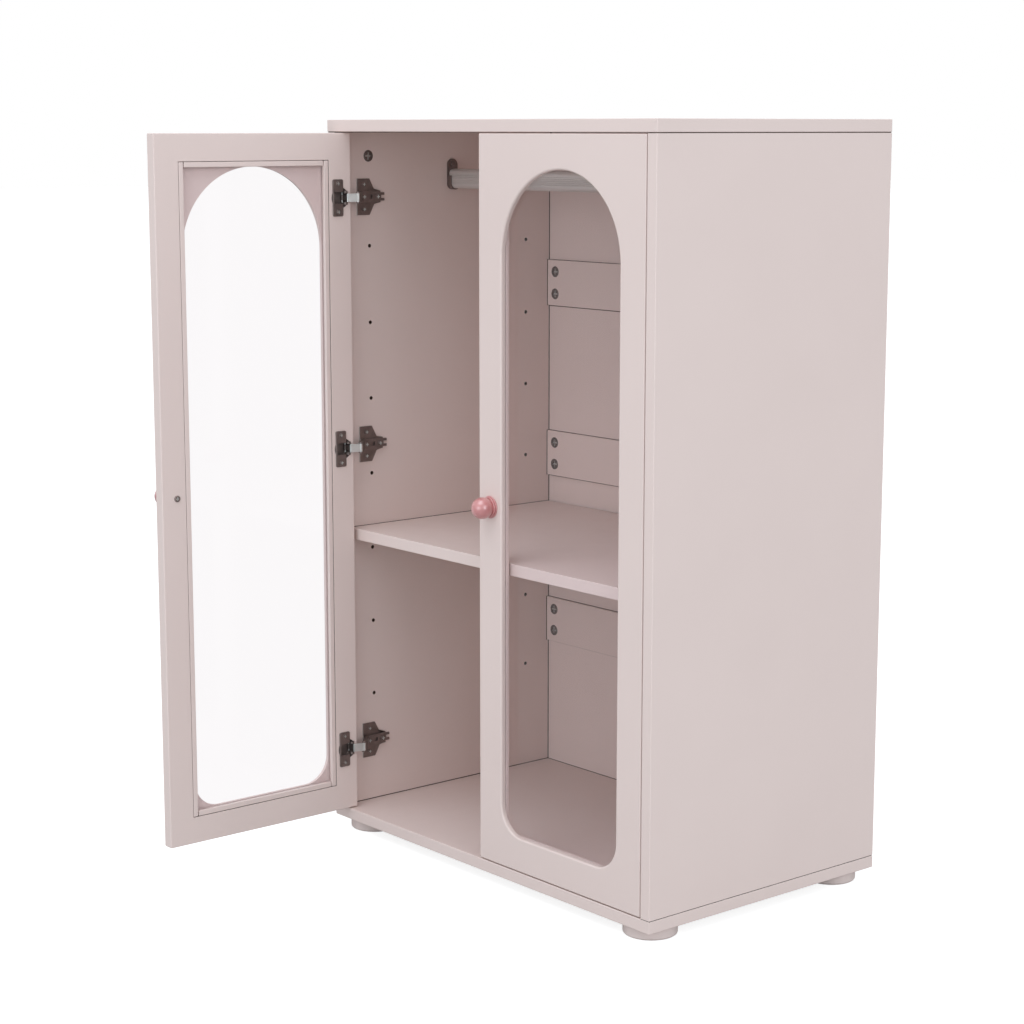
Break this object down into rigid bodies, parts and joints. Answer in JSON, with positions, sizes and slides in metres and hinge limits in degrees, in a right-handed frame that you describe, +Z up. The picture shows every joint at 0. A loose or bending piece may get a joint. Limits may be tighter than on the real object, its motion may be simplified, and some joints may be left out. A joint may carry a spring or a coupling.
{
  "type": "children's wardrobe",
  "caption": "Low children's wardrobe with arched glass doors on concealed hinges, ball knobs, a hanging rod, a fixed shelf, a framed back and round feet.",
  "frame": {"origin": "on the floor, under the middle of the body", "axes": "+X to the right, seen from the front; -Y out of the front; +Z up"},
  "size_m": [0.6228, 0.6631, 0.939],
  "materials": {
    "board_paint": "satin paint on medium-density board",
    "door_paint": "satin paint on moulded board",
    "foot_paint": "satin paint on turned wood",
    "knob_gloss": "glossy pink",
    "glass": "clear",
    "hinge_nickel": "dark nickel plate",
    "hinge_zinc": "bright zinc plate",
    "zinc_fixings": "zinc plate",
    "cam_metal": "die-cast, grey",
    "rod_aluminium": "matte anodised, fluted",
    "beech_dowels": "plain beech"
  },
  "bodies": {
    "cabinet": {"top_board": "board_paint", "bottom_board": "board_paint", "left_side": "board_paint", "right_side": "board_paint", "back_rail_upper": "board_paint", "back_rail_middle": "board_paint", "back_rail_lower": "board_paint", "back_panel_top": "board_paint", "back_panel_upper": "board_paint", "back_panel_lower": "board_paint", "back_panel_bottom": "board_paint", "shelf": "board_paint", "hanging_rod": "rod_aluminium", "left_rod_socket": "hinge_nickel", "right_rod_socket": "hinge_nickel", "rod_socket_screws": "zinc_fixings", "front_left_foot": "foot_paint", "front_right_foot": "foot_paint", "rear_left_foot": "foot_paint", "rear_right_foot": "foot_paint", "foot_screws": "zinc_fixings", "cam_locks": "cam_metal", "cam_bolts": "zinc_fixings", "dowels": "beech_dowels", "bottom_screws": "zinc_fixings", "left_hinge_arms": "hinge_nickel", "left_arm_pins": "zinc_fixings", "left_mounting_plates": "hinge_nickel", "right_hinge_arms": "hinge_nickel", "right_arm_pins": "zinc_fixings", "right_mounting_plates": "hinge_nickel", "hinge_plate_screws": "zinc_fixings", "hinge_arm_screws": "zinc_fixings"},
    "left_links": {"left_hinge_links": "hinge_zinc"},
    "left_door": {"left_door_panel": "door_paint", "left_glass": "glass", "left_top_bead": "door_paint", "left_bottom_bead": "door_paint", "left_hinge_side_bead": "door_paint", "left_free_side_bead": "door_paint", "left_bead_pins": "zinc_fixings", "left_knob": "knob_gloss", "left_knob_screw": "zinc_fixings", "left_hinge_cups": "hinge_nickel", "left_cup_pins": "zinc_fixings", "left_cup_screws": "zinc_fixings"},
    "right_links": {"right_hinge_links": "hinge_zinc"},
    "right_door": {"right_door_panel": "door_paint", "right_glass": "glass", "right_top_bead": "door_paint", "right_bottom_bead": "door_paint", "right_hinge_side_bead": "door_paint", "right_free_side_bead": "door_paint", "right_bead_pins": "zinc_fixings", "right_knob": "knob_gloss", "right_knob_screw": "zinc_fixings", "right_hinge_cups": "hinge_nickel", "right_cup_pins": "zinc_fixings", "right_cup_screws": "zinc_fixings"}
  },
  "joints": [
    {"name": "left_door_swing", "type": "hinge", "parent": "left_links", "child": "left_door", "pos_m": [-0.2827, -0.1878, 0.5167], "axis": [0, 0, 1], "range_deg": [-5.37, 96.66]},
    {"name": "left_link_swing", "type": "hinge", "parent": "cabinet", "child": "left_links", "pos_m": [-0.26802, -0.17314, 0.5167], "axis": [0, 0, 1], "range_deg": [-6.66, 0.38]},
    {"name": "right_door_swing", "type": "hinge", "parent": "right_links", "child": "right_door", "pos_m": [0.2843, -0.186, 0.5167], "axis": [0, 0, 1], "range_deg": [0, 102.02]},
    {"name": "right_link_swing", "type": "hinge", "parent": "cabinet", "child": "right_links", "pos_m": [0.26802, -0.17314, 0.5167], "axis": [0, 0, 1], "range_deg": [-7.03, 0]}
  ],
  "couplings": [
    {"joint": "left_link_swing", "follows": "left_door_swing", "ratio": -0.068853},
    {"joint": "right_link_swing", "follows": "right_door_swing", "ratio": -0.068853}
  ]
}
